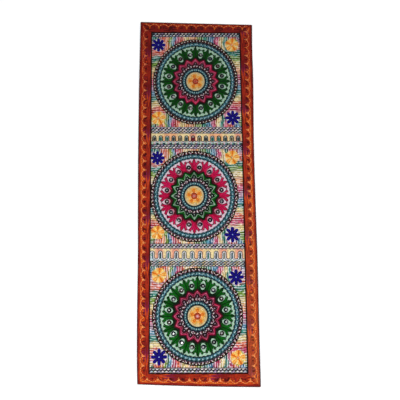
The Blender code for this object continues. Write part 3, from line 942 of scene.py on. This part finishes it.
def meander_band(stitches):
    """Cream and peach tongues hanging into a teal meander."""
    band = MEANDER_BAND
    left, right = field_sides(band["top"])
    quarter = band["pitch"] / 4

    def ground(points):
        phase = np.mod(points[:, 0] - band["first"] + quarter, band["pitch"])
        height = points[:, 1] - rise(points[:, 0], BAND_RISE)
        inside_loop = (phase < 2 * quarter) & (height < band["line_top"] - 1.5)
        below = inside_loop | (height < band["line_bottom"] + 1.0)
        place = points[:, 0] / band["pitch"]
        warm = blend_threads(("cream", "peach", "sand", "cream", "shell", "cream", "shell", "sand"),
                             place + 0.8)
        in_heart = (np.abs(phase - quarter) < 2.0) & (height > band["line_bottom"] + 2.0)
        heart = blend_threads(("deep_teal", "sea", "slate", "khaki", "teal"), place)
        cool = blend_threads(("mint", "pearl", "ice", "pearl"), points[:, 0] / 6.7 + points[:, 1] / 5.0)
        return np.where(below[:, None], np.where(in_heart[:, None], heart, cool), warm)

    def within(points):
        return (points[:, 0] > left + 1.5) & (points[:, 0] < right - 1.5)

    fill_band(stitches, band, ground, length=3.4)
    lines = ((0.0, ("slate", "ink", "deep_teal"), 3.0, 2.1, 0.5), (1.9, "pearl", 3.2, 2.1, 0.4),
             (3.6, ("slate", "ink"), 3.0, 1.5, 0.45))
    for inset, names, length, width, lift in lines:
        stitches.row(meander_line(band, inset), names, length=length, width=width, lift=lift, keep=within)
    for i in range(2 * band["count"]):
        x = band["first"] + band["pitch"] / 2 * i
        arch = [(x + quarter * math.sin(t), band["top"] - 3.4 + 3.0 * math.cos(t) + rise(x, BAND_RISE))
                for t in np.linspace(-math.pi / 2, math.pi / 2, 7)]
        stitches.row(arch, "slate", length=3.2, width=1.7, lift=0.35, keep=within)


def bands(finish):
    stitches = Stitches("band_stitches", "stitched_cotton", CLOTH_TOP)
    for y, half, climb in ZIGZAGS:
        zigzag_row(stitches, y, half, climb)
    eye_band(stitches)
    meander_band(stitches)
    return stitches.make(finish)


# Border strips

def cut_edges():
    """The four sides of the cut edge, as dense points from the first corner of each to its last."""
    left = smooth_path(LEFT_EDGE, 320)
    right = smooth_path(RIGHT_EDGE, 320)
    ends = {}
    for side, a, b, sag in (("top", left[0], right[0], TOP_SAG), ("bottom", left[-1], right[-1], BOTTOM_SAG)):
        share = np.linspace(0, 1, 121)[:, None]
        line = a + (b - a) * share
        line[:, 1] -= sag * np.sin(math.pi * share[:, 0])
        ends[side] = line
    return {"left": left, "right": right, **ends}


FIELD_LINES = {"left": (FIELD_TOP_LEFT, FIELD_BOTTOM_LEFT), "right": (FIELD_TOP_RIGHT, FIELD_BOTTOM_RIGHT),
               "top": (FIELD_TOP_LEFT, FIELD_TOP_RIGHT), "bottom": (FIELD_BOTTOM_LEFT, FIELD_BOTTOM_RIGHT)}
EDGES = cut_edges()


def along_edge(side, place):
    """Points of the cut edge at shares of its length."""
    edge = EDGES[side]
    run = np.concatenate([[0.0], np.cumsum(np.hypot(*np.diff(edge, axis=0).T))])
    at = np.asarray(place) * run[-1]
    return np.column_stack([np.interp(at, run, edge[:, 0]), np.interp(at, run, edge[:, 1])])


def strip_points(side, place, share):
    """Points of a border strip: place along it and share across it, from the cut edge inwards."""
    place = np.asarray(place, float)
    share = np.broadcast_to(np.asarray(share, float), place.shape)[:, None]
    outer = along_edge(side, place)
    a, b = (np.array(corner) for corner in FIELD_LINES[side])
    inner = a + (b - a) * place[:, None]
    return outer + (inner - outer) * share


def wave_turn(side, place):
    """How many scallops come before a place along a strip; whole where one bulges furthest."""
    return place * WAVES[side] + WAVE_DRIFT[side] * np.sin(math.pi * place)


def wave_share(side, place):
    """How far in the scalloped line lies at each place along a strip."""
    bulge = np.abs(np.cos(math.pi * wave_turn(side, place))) ** WAVE_FULLNESS
    return WAVE_INNER_SHARE[side] + (WAVE_OUTER_SHARE[side] - WAVE_INNER_SHARE[side]) * bulge


def lean(side, place, share):
    """The shift along a mitred strip that keeps a scallop square to the cut edge."""
    return BORDER_WIDTH * (0.4 - share) * (1 - 2 * place) / (SIDE_LENGTHS[side] - 2 * BORDER_WIDTH * share)


def upright(side, place, share):
    """Places along a strip at the given shares across it, square to the edge from those at share 0.4."""
    return np.clip(place + lean(side, place, share), 0.0, 1.0)


def wave_middles(side):
    """Places along a strip where the scallops bulge furthest."""
    middles = np.arange(0, WAVES[side] + 1) / WAVES[side]
    return middles - WAVE_DRIFT[side] * np.sin(math.pi * middles) / WAVES[side]


# Threads in turn along the strips: outside the scalloped line, inside it, and next to the cut edge, where
# darker threads paint the shade of the strip turning over the edge
OUTER_RUN = ("marigold", "vermilion", "marigold", "vermilion", "marigold", "brick", "vermilion", "brick")
INNER_RUN = ("brick", "garnet", "vermilion", "plum", "garnet", "garnet", "brick")
RIM_PAINTED_SHADE_RUN = ("garnet", "brick", "garnet", "garnet", "brick")
TOP_OUTER_RUN = ("garnet", "brick", "garnet", "brick", "vermilion")
TOP_INNER_RUN = ("garnet", "maroon", "garnet", "garnet")
RUN_LENGTH = 24.0
RUN_START = {"left": 0.0, "right": 2.3, "top": 1.0, "bottom": 0.4}
# Shares across a strip, from the cut edge inwards, where its edge rows, rim and seam rows end or start
EDGE_ENDS = 0.08
RIM_ENDS = 0.19
SEAM_STARTS = 0.93
# The long strips' upper ends are darkened by painted shade: where that starts, and the least share of their
# colour left
STRIP_END_PAINTED_SHADE = {"left": (170.0, 0.55), "right": (250.0, 0.70)}


def painted_strip_light(side, points, shade):
    """A border colour with painted shade at the long strips' upper ends and painted light low on the right.
    """
    if side in STRIP_END_PAINTED_SHADE:
        start_y, least = STRIP_END_PAINTED_SHADE[side]
        # Painted shade over the upper end of a long strip
        end_shade_painted = np.interp(points[:, 1], (start_y, 430), (1.0, least))[:, None]
        shade = shade * np.hstack([0.5 + 0.5 * end_shade_painted, end_shade_painted, 0.5 + 0.5 * end_shade_painted])
    if side == "right":
        # Painted light low on the right strip, mixed towards apricot
        low_right_painted_light = np.interp(points[:, 1], (-450, 150), (0.13, 0.0))[:, None]
        shade = shade * (1 - low_right_painted_light) + COLOURS["apricot"] * low_right_painted_light
    return shade


def painted_light_thread(side, run):
    """A colour for stitches in turn from a run of threads, with the strip's painted shade and painted light.
    """
    return lambda points: painted_strip_light(side, points, thread_turns(run, len(points)))


def strip_colour(side, k, share, spot_sizes):
    """The colour along row k of a strip: changing at the scalloped line, with a dark spot in each scallop."""
    outer_run, inner_run = (TOP_OUTER_RUN, TOP_INNER_RUN) if side == "top" else (OUTER_RUN, INNER_RUN)
    axis = 1 if side in LONG_SIDES else 0
    first = EDGES[side][0, axis]
    last = EDGES[side][-1, axis]

    def colour(points):
        place = (points[:, axis] - first) / (last - first)
        run = points[:, axis] / RUN_LENGTH + RUN_START[side] + 0.5 * math.sin(1.7 * k)
        wave = place - lean(side, place, share)
        turn = wave_turn(side, wave)
        # Next to the cut edge, the darker rim threads are painted shade
        warm = blend_threads(RIM_PAINTED_SHADE_RUN if share < RIM_ENDS else outer_run, run)
        dark = blend_threads(inner_run, 1.3 * run)
        shade = np.where((share < wave_share(side, wave))[:, None], warm, dark)
        off_middle = np.abs(np.mod(turn + 0.5, 1) - 0.5)
        spot_size = spot_sizes[np.clip(np.round(turn), 0, WAVES[side]).astype(int)]
        in_spot = np.hypot(off_middle * 28, (share - 0.53) * 30) < spot_size
        # The strip's painted shade and painted light are added here
        return painted_strip_light(side, points, np.where(in_spot[:, None], COLOURS["maroon"], shade))

    if share > SEAM_STARTS:
        return "bark"
    return "garnet" if share < EDGE_ENDS else colour


def stitch_scallops(stitches, side, fine):
    """The scalloped line, a hook in each hollow of it, and a dark crescent in each scallop."""
    top = side == "top"
    light = ("marigold", "apricot", "vermilion") if top else ("apricot", "marigold", "apricot", "marigold")
    hooks = ("vermilion", "marigold", "brick") if top else ("apricot", "apricot", "marigold")
    middles = wave_middles(side)

    def across(place, start, end, count, colour, length, width, lift):
        """Straight stitches across the strip, square to its cut edge."""
        shares = np.linspace(start, end, count)
        path = strip_points(side, upright(side, place, shares), shares)
        stitches.strands(path, colour, length, width, lift)

    # The scalloped line in light thread, and just inside it a dark row that is its painted shadow
    for shift, names, lift in ((0.0, light, 0.45), (0.06, ("garnet", "brick"), 0.3)):
        share = wave_share(side, fine) + shift
        line = strip_points(side, upright(side, fine, share), share)
        stitches.row(line, painted_light_thread(side, names), length=3.2, width=2.1, lift=lift)
    for i, place in enumerate((middles[:-1] + middles[1:]) / 2):
        hook = painted_light_thread(side, (hooks[i % 3],))
        for offset, reach in ((-0.06, 0.58), (0.0, 0.66), (0.06, 0.58)):
            across(place + offset / WAVES[side], 0.36, reach, 5, hook, 5.2, 2.2, 0.4)
    for i, place in enumerate(middles[1:-1]):
        for offset, name in ((-0.05, "maroon"), (0.04, ("maroon", "bark", "plum")[i % 3])):
            across(place + offset / WAVES[side], 0.42, 0.62, 4, name, 4.0, 2.6, 0.35)


def border_side(side, finish):
    """Rows along a strip, overcast at the cut edge and corded at the seam, with scallops over them."""
    stitches = Stitches("border_stitches_" + side, "border_thread", BORDER_TOP)
    length = np.hypot(*np.diff(EDGES[side], axis=0).T).sum()
    fine = np.linspace(0.0005, 0.9995, int(length / 2))
    spot_sizes = RNG.uniform(2.0, 4.6, WAVES[side] + 2)
    for k in range(BORDER_ROWS):
        share = 0.05 + 0.91 * k / (BORDER_ROWS - 1)
        stitches.row(strip_points(side, fine, share), strip_colour(side, k, share, spot_sizes), width=2.6)
    stitch_scallops(stitches, side, fine)
    overcast = np.arange(1.0, length - 1.0, 2.2) / length
    edge = strip_points(side, overcast, 0.035)
    inward = strip_points(side, overcast, 0.10) - edge
    inward /= np.hypot(*inward.T)[:, None]
    stitches.place("strand", edge, inward, 3.4, 2.2, ("bark", "maroon", "bark"), lift=0.25)
    stitches.row(strip_points(side, fine, 0.965), "bark", length=4.0, width=2.4, lift=0.35)
    return stitches.make(finish)


# Cloth

# Faces of the sheets' grids: along the cloth, across it, and across a border strip
FACES_ALONG = 218
FACES_ACROSS = 70
FACES_IN_STRIP = 8
# How much of its thread's colour the cloth under the stitches keeps: that colour, darkened as painted shade
# in the gaps between stitches
GAP_PAINTED_SHADE = 0.62
# The cells, in mm, in which a sheet takes the colours of its thread, and how far from the middle they go
CELL = 3.0
CELLS_REACH = 560.0


def mesh_points(mesh):
    points = np.empty(len(mesh.vertices) * 3)
    mesh.vertices.foreach_get("co", points)
    return points.reshape(-1, 3)


def sheet_grid(name, columns, rows, place, under, top, finish):
    """A closed sheet made from a grid: place maps shares across and down it to points in mm."""
    start_shape()
    bpy.ops.mesh.primitive_grid_add(x_subdivisions=columns, y_subdivisions=rows, size=2.0)
    sheet = bpy.context.object
    sheet.name = name
    sheet.data.name = name
    flat = mesh_points(sheet.data)
    across = (flat[:, 0] + 1) / 2
    down = (1 - flat[:, 1]) / 2
    points = place(across, down)
    ripple = 0.10 * np.sin(points[:, 0] / 17.0) * np.sin(points[:, 1] / 23.0)
    edge = np.minimum(np.minimum(across, 1 - across) * 30, np.minimum(down, 1 - down) * 90)
    height = top - 0.5 * (top - under) * np.clip(1 - edge, 0, 1) ** 2 - 0.1 + ripple * np.clip(edge, 0, 1)
    sheet.data.vertices.foreach_set("co", np.column_stack([points, height]).ravel() * MM)
    solid = sheet.modifiers.new("thickness", "SOLIDIFY")
    solid.thickness = (top - under) * MM
    solid.offset = -1.0
    bpy.ops.object.modifier_apply(modifier="thickness")
    corners = mesh_points(sheet.data)
    corners[len(flat):, 2] = under * MM
    corners[:len(flat), 2] = np.maximum(corners[:len(flat), 2], (under + 0.35 * (top - under)) * MM)
    sheet.data.vertices.foreach_set("co", corners.ravel())
    sheet.data.shade_smooth()
    sheet.data.materials.clear()
    sheet.data.materials.append(finish)
    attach(sheet, "root")
    return sheet


def ground_place(across, down):
    """The whole cloth, between its four cut edges."""
    left, right = along_edge("left", down), along_edge("right", down)
    top, bottom = along_edge("top", across), along_edge("bottom", across)
    u, v = across[:, None], down[:, None]
    corners = ((1 - u) * (1 - v) * EDGES["top"][0] + u * (1 - v) * EDGES["top"][-1]
               + (1 - u) * v * EDGES["bottom"][0] + u * v * EDGES["bottom"][-1])
    return (1 - u) * left + u * right + (1 - v) * top + v * bottom - corners


def strip_place(side):
    """Maps the shares across and down a border strip's grid to the strip, a hair short of its ends."""
    def place(across, down):
        if side in LONG_SIDES:
            return strip_points(side, 0.0006 + 0.9988 * down, across if side == "left" else 1 - across)
        return strip_points(side, 0.001 + 0.998 * across, down if side == "top" else 1 - down)
    return place


def beside_cells(grid):
    """For each cell, the sum of the four next to it."""
    return np.roll(grid, 1, 0) + np.roll(grid, -1, 0) + np.roll(grid, 1, 1) + np.roll(grid, -1, 1)


def paint_from_stitches(sheet, places, colours):
    """Colours a sheet as the thread that lies on it, cell by cell, darkened as painted shade for the gaps
    between stitches.
    """
    size = int(2 * CELLS_REACH / CELL)

    def cells(points):
        return np.clip(((points + CELLS_REACH) / CELL).astype(int), 0, size - 1)

    total = np.zeros((size, size, 3))
    count = np.zeros((size, size))
    at = cells(places)
    np.add.at(total, (at[:, 0], at[:, 1]), colours)
    np.add.at(count, (at[:, 0], at[:, 1]), 1)
    for spread in range(4):
        empty = count == 0
        near = beside_cells(total)
        near_count = beside_cells(count)
        total[empty] = near[empty]
        count[empty] = near_count[empty]
    mean = total / np.maximum(count, 1)[:, :, None]
    here = cells(mesh_points(sheet.data)[:, :2] / MM)
    # Painted shade: the thread's colour, darkened, shows in the gaps between stitches
    paint_points(sheet.data, mean[here[:, 0], here[:, 1]] * GAP_PAINTED_SHADE)


# Mirrors

GLASS_SIDES = 28
GLASS_BEVEL = 0.16
GLASS_TIP = 0.055


def make_mirror(name, middle, radius, node, finish):
    """A round of mirror glass with a softened rim, tipped a little by the stitches that hold it."""
    start_shape()
    bpy.ops.mesh.primitive_cylinder_add(vertices=GLASS_SIDES, radius=radius * MM, depth=MIRROR_THICKNESS * MM)
    edit_all()
    bpy.ops.mesh.bevel(offset=GLASS_BEVEL * MM, segments=2, affect="EDGES")
    bpy.ops.object.mode_set(mode="OBJECT")
    glass = bpy.context.object
    glass.name = name
    glass.data.name = name
    tip = RNG.uniform(-GLASS_TIP, GLASS_TIP, 2)
    height = MIRROR_UNDER + MIRROR_THICKNESS / 2 + radius * abs(tip).max()
    turn = Matrix.Rotation(tip[0], 4, "X") @ Matrix.Rotation(tip[1], 4, "Y")
    glass.data.transform(Matrix.Translation(Vector((middle[0], middle[1], height)) * MM) @ turn)
    glass.data.shade_smooth()
    glass.data.set_sharp_from_angle(angle=math.radians(20))
    glass.data.materials.clear()
    glass.data.materials.append(finish)
    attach(glass, "root")
    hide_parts(node)
    return glass


def all_mirrors(finish, rosy_finish):
    made = []
    for panel, centre in MEDALLIONS.items():
        made.append(make_mirror("glass_heart_" + panel, centre, HEART_MIRROR_RADIUS, "heart_mirror_" + panel,
                                rosy_finish))
        for i in range(LEAVES):
            made.append(make_mirror(f"glass_{panel}_{i + 1:02d}", mirror_middle(centre, i), MIRROR_RADIUS,
                                    f"mirror_{panel}_{i + 1:02d}", finish))
    return made


# Finishes

def add_node(tree, kind, settings=None, links=None):
    """Adds a node; settings name its properties or sockets, links join its sockets to others."""
    node = tree.nodes.new(kind)
    for name, value in (settings or {}).items():
        if isinstance(name, int) or name in node.inputs:
            node.inputs[name].default_value = value
        else:
            setattr(node, name, value)
    for name, source in (links or {}).items():
        tree.links.new(source, node.inputs[name])
    return node


def new_finish(name, **settings):
    finish = bpy.data.materials.new(name)
    finish.use_nodes = True
    shader = finish.node_tree.nodes["Principled BSDF"]
    for socket, value in settings.items():
        shader.inputs[socket.replace("_", " ")].default_value = value
    return finish, finish.node_tree, shader


def dye_and_raise(tree, shader, depth, relief, strength, distance):
    """Colours cotton by the thread on each point, times depth, and raises it by relief."""
    thread = add_node(tree, "ShaderNodeAttribute", {"attribute_name": "thread"})
    tint = add_node(tree, "ShaderNodeVectorMath", {"operation": "SCALE"},
                    {0: thread.outputs["Color"], "Scale": depth.outputs["Result"]})
    tree.links.new(tint.outputs["Vector"], shader.inputs["Base Color"])
    bump = add_node(tree, "ShaderNodeBump", {"Strength": strength, "Distance": distance}, {"Height": relief})
    tree.links.new(bump.outputs["Normal"], shader.inputs["Normal"])


def cotton_floss():
    """Stranded cotton floss: deep dyed colour, little shine, slightly uneven dye."""
    finish, tree, shader = new_finish("cotton_floss", Roughness=0.7, Specular_IOR_Level=0.1)
    place = add_node(tree, "ShaderNodeTexCoord").outputs["Object"]
    dye = add_node(tree, "ShaderNodeTexNoise", {"Scale": 420.0, "Detail": 3.0}, {"Vector": place})
    depth = add_node(tree, "ShaderNodeMapRange",
                     {"From Min": 0.3, "From Max": 0.7, "To Min": 0.78, "To Max": 1.14},
                     {"Value": dye.outputs["Fac"]})
    fibres = add_node(tree, "ShaderNodeTexNoise", {"Scale": 2600.0, "Detail": 2.0}, {"Vector": place})
    dye_and_raise(tree, shader, depth, fibres.outputs["Fac"], 0.25, 0.0002)
    return finish


def woven_cotton():
    """Plain-woven cotton coloured by the thread on it, with painted shade where that thread leaves gaps,
    matt. Its own threads are drawn about 5 mm apart, coarser than real, so that they can show."""
    finish, tree, shader = new_finish("woven_cotton", Roughness=0.9, Specular_IOR_Level=0.1)
    place = add_node(tree, "ShaderNodeTexCoord").outputs["Object"]
    warp, weft = (
        add_node(tree, "ShaderNodeTexWave",
                 {"bands_direction": direction, "Scale": 62.0, "Distortion": 0.4, "Detail": 1.0},
                 {"Vector": place})
        for direction in ("X", "Y"))
    weave = add_node(tree, "ShaderNodeMath", {"operation": "MULTIPLY"},
                     {0: warp.outputs["Fac"], 1: weft.outputs["Fac"]})
    depth = add_node(tree, "ShaderNodeMapRange", {"To Min": 0.7, "To Max": 1.1},
                     {"Value": weave.outputs["Value"]})
    dye_and_raise(tree, shader, depth, weave.outputs["Value"], 0.4, 0.0003)
    return finish


def silvered_glass(name, tint):
    """Thin hand-cut mirror: silver behind glass, with faint cloudy wear in the silvering."""
    finish, tree, shader = new_finish(name, Base_Color=tint, Metallic=1.0, Roughness=0.06)
    place = add_node(tree, "ShaderNodeTexCoord").outputs["Object"]
    cloud = add_node(tree, "ShaderNodeTexNoise", {"Scale": 900.0, "Detail": 4.0}, {"Vector": place})
    wear = add_node(tree, "ShaderNodeMapRange",
                    {"From Min": 0.35, "From Max": 0.75, "To Min": 0.08, "To Max": 0.30},
                    {"Value": cloud.outputs["Fac"]})
    tree.links.new(wear.outputs["Result"], shader.inputs["Roughness"])
    return finish


def studio_white():
    """Matt white paper, which takes a soft shadow."""
    return new_finish("studio_white", Base_Color=(0.97, 0.97, 0.97, 1.0), Roughness=0.9)[0]


# Studio, in metres

FLOOR_SIZE = 12.0
FLOOR_HEIGHT = -0.0004
# Lamps, as (name, place, what it points at, size, power)
LAMPS = (("key", (-0.72, -0.9, 1.7), (0, -0.05, 0), 0.9, 24.0),
         ("fill", (1.5, 0.8, 1.9), (0, 0.2, 0), 1.6, 35.0))


def add_area_light(name, place, aim, size, power):
    lamp = bpy.data.lights.new(name, "AREA")
    lamp.size = size
    lamp.energy = power
    holder = bpy.data.objects.new(name, lamp)
    bpy.context.scene.collection.objects.link(holder)
    holder.location = place
    holder.rotation_euler = (Vector(aim) - Vector(place)).to_track_quat("-Z", "Y").to_euler()


def studio():
    """A white floor in a soft white room that is dimmer on one side, with two lamps."""
    start_shape()
    bpy.ops.mesh.primitive_plane_add(size=FLOOR_SIZE, location=(0, 0, FLOOR_HEIGHT))
    floor = bpy.context.object
    floor.name = "floor"
    floor.data.materials.append(studio_white())
    world = bpy.data.worlds.new("soft_room")
    bpy.context.scene.world = world
    world.use_nodes = True
    tree = world.node_tree
    way = add_node(tree, "ShaderNodeTexCoord")
    slant = add_node(tree, "ShaderNodeVectorMath", {"operation": "DOT_PRODUCT", 1: (1.2, 1.0, 0.0)},
                     {0: way.outputs["Generated"]})
    strength = add_node(tree, "ShaderNodeMapRange",
                        {"From Min": 0.20, "From Max": 0.42, "To Min": 0.70, "To Max": 0.12},
                        {"Value": slant.outputs["Value"]})
    backdrop = tree.nodes["Background"]
    backdrop.inputs["Color"].default_value = (1.0, 1.0, 1.0, 1.0)
    tree.links.new(strength.outputs["Result"], backdrop.inputs["Strength"])
    for lamp in LAMPS:
        add_area_light(*lamp)
    bpy.context.scene.view_settings.view_transform = "Standard"


# The camera looks down on the cloth from its lower end, a little off square
VIEW_CENTRE = (8.75, -16.2)
VIEW_DISTANCE = 1267.0
VIEW_TILT = math.radians(7.3)
VIEW_ROLL = math.radians(0.46)
PICTURE_SIDE = 400
FOCAL_PIXELS = 424.0


def camera():
    lens = bpy.data.cameras.new("camera")
    lens.sensor_width = 36.0
    lens.lens = FOCAL_PIXELS / PICTURE_SIDE * lens.sensor_width
    holder = bpy.data.objects.new("camera", lens)
    bpy.context.scene.collection.objects.link(holder)
    up = Vector((math.sin(VIEW_ROLL), math.cos(VIEW_ROLL), 0.0))
    aim = Vector((VIEW_CENTRE[0], VIEW_CENTRE[1], 0.0)) * MM
    back = Vector((0, 0, 1)) * math.cos(VIEW_TILT) - up * math.sin(VIEW_TILT)
    side = up.cross(back).normalized()
    turn = Matrix((side, back.cross(side), back)).transposed().to_4x4()
    holder.matrix_world = Matrix.Translation(aim + back * VIEW_DISTANCE * MM) @ turn
    bpy.context.scene.camera = holder


def main():
    floss = cotton_floss()
    cotton = woven_cotton()
    field = [medallion(panel, floss) for panel in MEDALLIONS]
    field += [panel_ground(panel, floss) for panel in PANELS]
    field.append(bands(floss))
    border = {side: border_side(side, floss) for side in EDGES}
    mirrors = all_mirrors(silvered_glass("silvered_glass", (0.68, 0.69, 0.68, 1.0)),
                          silvered_glass("rosy_glass", (0.97, 0.52, 0.54, 1.0)))

    ground = sheet_grid("woven_ground", FACES_ACROSS, FACES_ALONG, ground_place, 0.0, CLOTH_TOP, cotton)
    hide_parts("ground_cloth")
    pieces, places, colours = zip(*field, *border.values())
    paint_from_stitches(ground, np.vstack(places), np.vstack(colours))
    for side, (piece, places, colours) in border.items():
        long_side = side in LONG_SIDES
        columns, rows = (FACES_IN_STRIP, FACES_ALONG) if long_side else (FACES_ACROSS, FACES_IN_STRIP)
        strip = sheet_grid("woven_border_" + side, columns, rows, strip_place(side), BORDER_UNDER, BORDER_TOP,
                           cotton)
        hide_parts("border_" + side)
        paint_from_stitches(strip, places, colours)
    studio()
    camera()


main()
